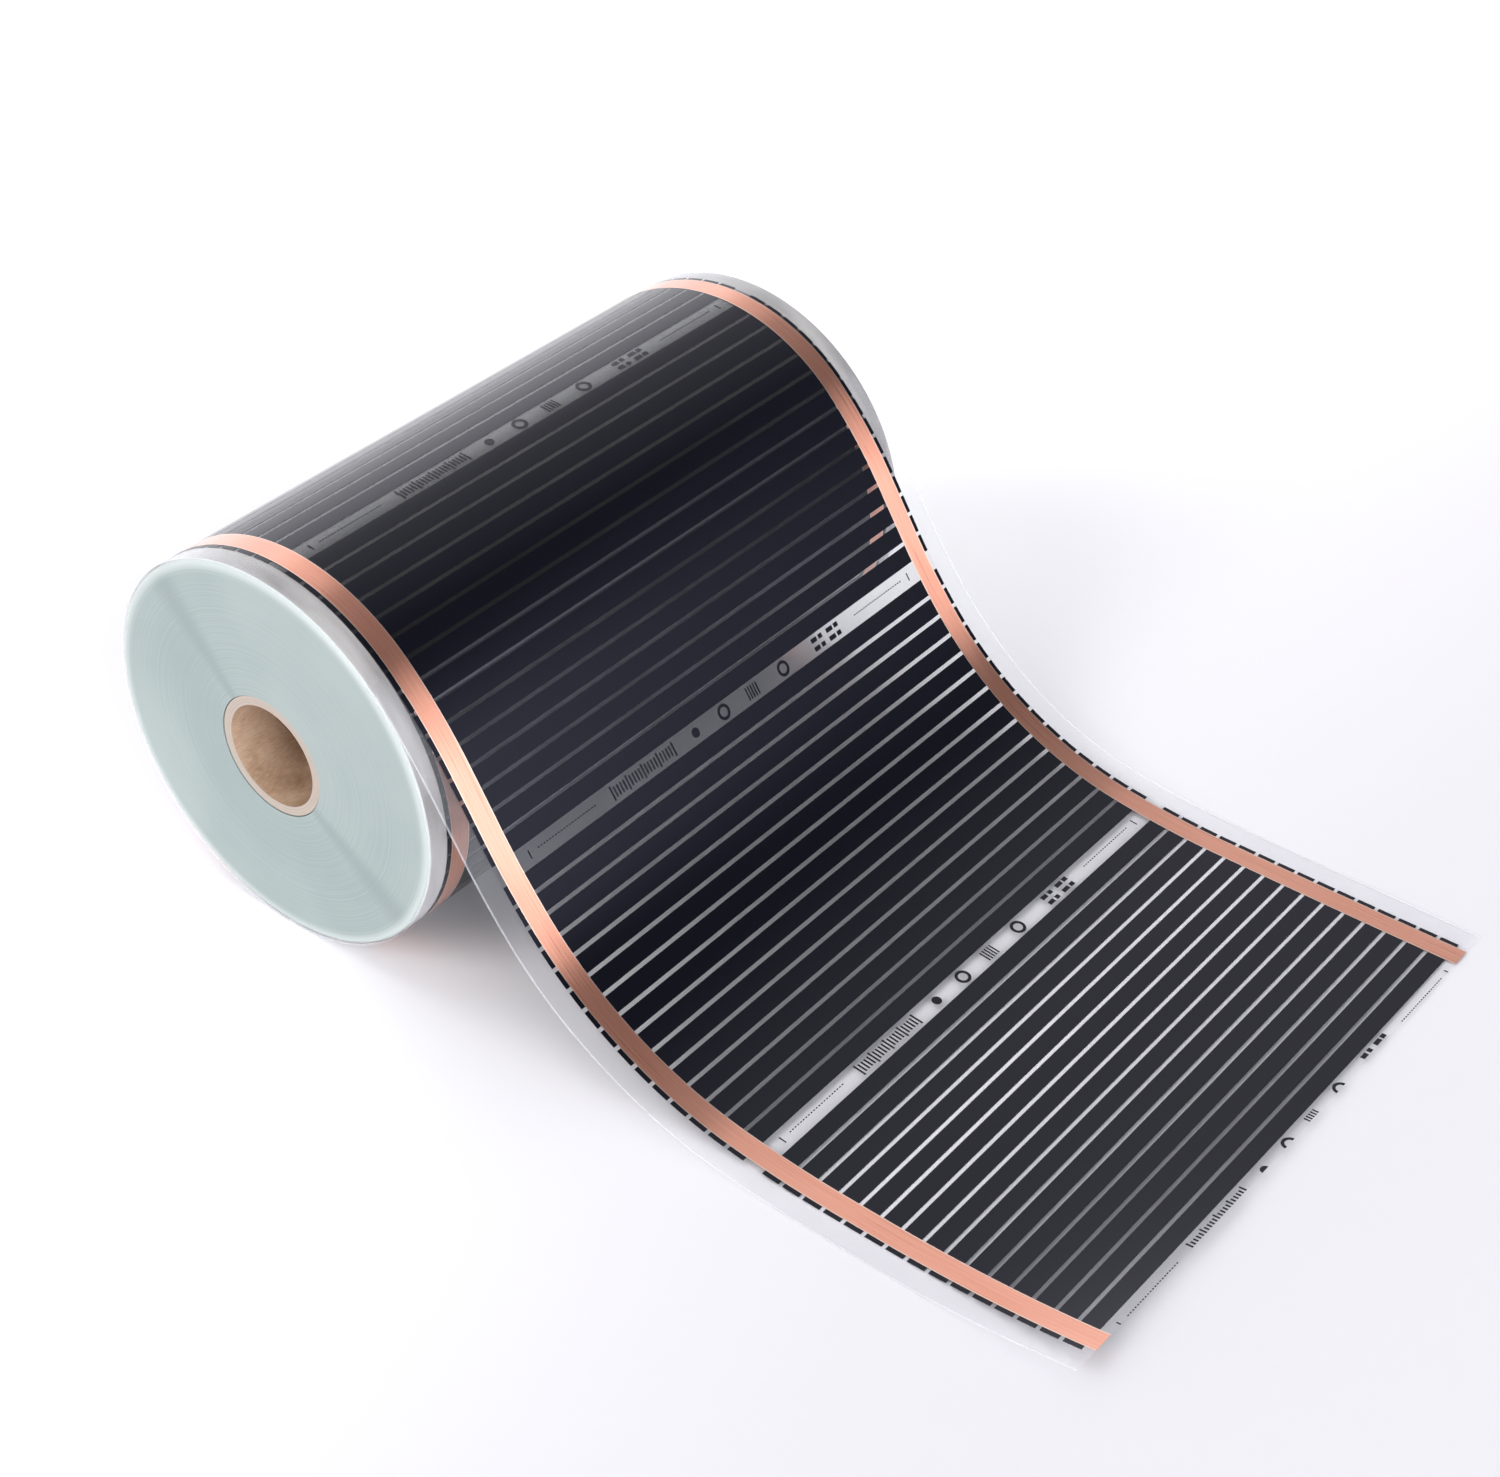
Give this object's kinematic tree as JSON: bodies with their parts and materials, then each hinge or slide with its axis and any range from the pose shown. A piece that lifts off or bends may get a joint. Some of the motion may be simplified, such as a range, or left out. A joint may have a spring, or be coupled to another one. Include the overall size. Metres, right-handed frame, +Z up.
{
  "type": "underfloor heating film roll",
  "caption": "Roll of clear carbon heating film with copper edge strips on a cardboard core, with a free length run out on the floor.",
  "frame": {"origin": "on the floor, under the middle of the part's box", "axes": "+X along the free length, from the roll to the cut end; +Y along the core, away from the near end; +Z up"},
  "size_m": [0.7862, 0.5, 0.2879],
  "materials": {
    "kraft_core": "spiral wound kraft board, matt",
    "clear_film": "clear polyester laminate, glossy, pale aqua where it is wound",
    "carbon_ink": "black carbon ink under clear film, glossy",
    "copper_foil": "satin copper foil under clear film"
  },
  "bodies": {
    "root": {"core_tube": "kraft_core", "heating_film": "clear_film", "carbon_stripe_01": "carbon_ink", "carbon_stripe_02": "carbon_ink", "carbon_stripe_03": "carbon_ink", "carbon_stripe_04": "carbon_ink", "carbon_stripe_05": "carbon_ink", "carbon_stripe_06": "carbon_ink", "carbon_stripe_07": "carbon_ink", "carbon_stripe_08": "carbon_ink", "carbon_stripe_09": "carbon_ink", "carbon_stripe_10": "carbon_ink", "carbon_stripe_11": "carbon_ink", "carbon_stripe_12": "carbon_ink", "carbon_stripe_13": "carbon_ink", "carbon_stripe_14": "carbon_ink", "carbon_stripe_15": "carbon_ink", "carbon_stripe_16": "carbon_ink", "carbon_stripe_17": "carbon_ink", "carbon_stripe_18": "carbon_ink", "carbon_stripe_19": "carbon_ink", "carbon_stripe_20": "carbon_ink", "carbon_stripe_21": "carbon_ink", "carbon_stripe_22": "carbon_ink", "carbon_stripe_23": "carbon_ink", "carbon_stripe_24": "carbon_ink", "carbon_stripe_25": "carbon_ink", "carbon_stripe_26": "carbon_ink", "carbon_stripe_27": "carbon_ink", "carbon_stripe_28": "carbon_ink", "carbon_stripe_29": "carbon_ink", "carbon_stripe_30": "carbon_ink", "carbon_stripe_31": "carbon_ink", "carbon_stripe_32": "carbon_ink", "carbon_stripe_33": "carbon_ink", "carbon_stripe_34": "carbon_ink", "carbon_stripe_35": "carbon_ink", "carbon_stripe_36": "carbon_ink", "carbon_stripe_37": "carbon_ink", "carbon_stripe_38": "carbon_ink", "carbon_stripe_39": "carbon_ink", "carbon_stripe_40": "carbon_ink", "carbon_stripe_41": "carbon_ink", "carbon_stripe_42": "carbon_ink", "carbon_stripe_43": "carbon_ink", "carbon_stripe_44": "carbon_ink", "carbon_stripe_45": "carbon_ink", "carbon_stripe_46": "carbon_ink", "carbon_stripe_47": "carbon_ink", "carbon_stripe_48": "carbon_ink", "carbon_stripe_49": "carbon_ink", "carbon_stripe_50": "carbon_ink", "carbon_stripe_51": "carbon_ink", "carbon_stripe_52": "carbon_ink", "carbon_stripe_53": "carbon_ink", "carbon_stripe_54": "carbon_ink", "carbon_stripe_55": "carbon_ink", "copper_strip_near": "copper_foil", "copper_strip_far": "copper_foil"}
  },
  "joints": []
}
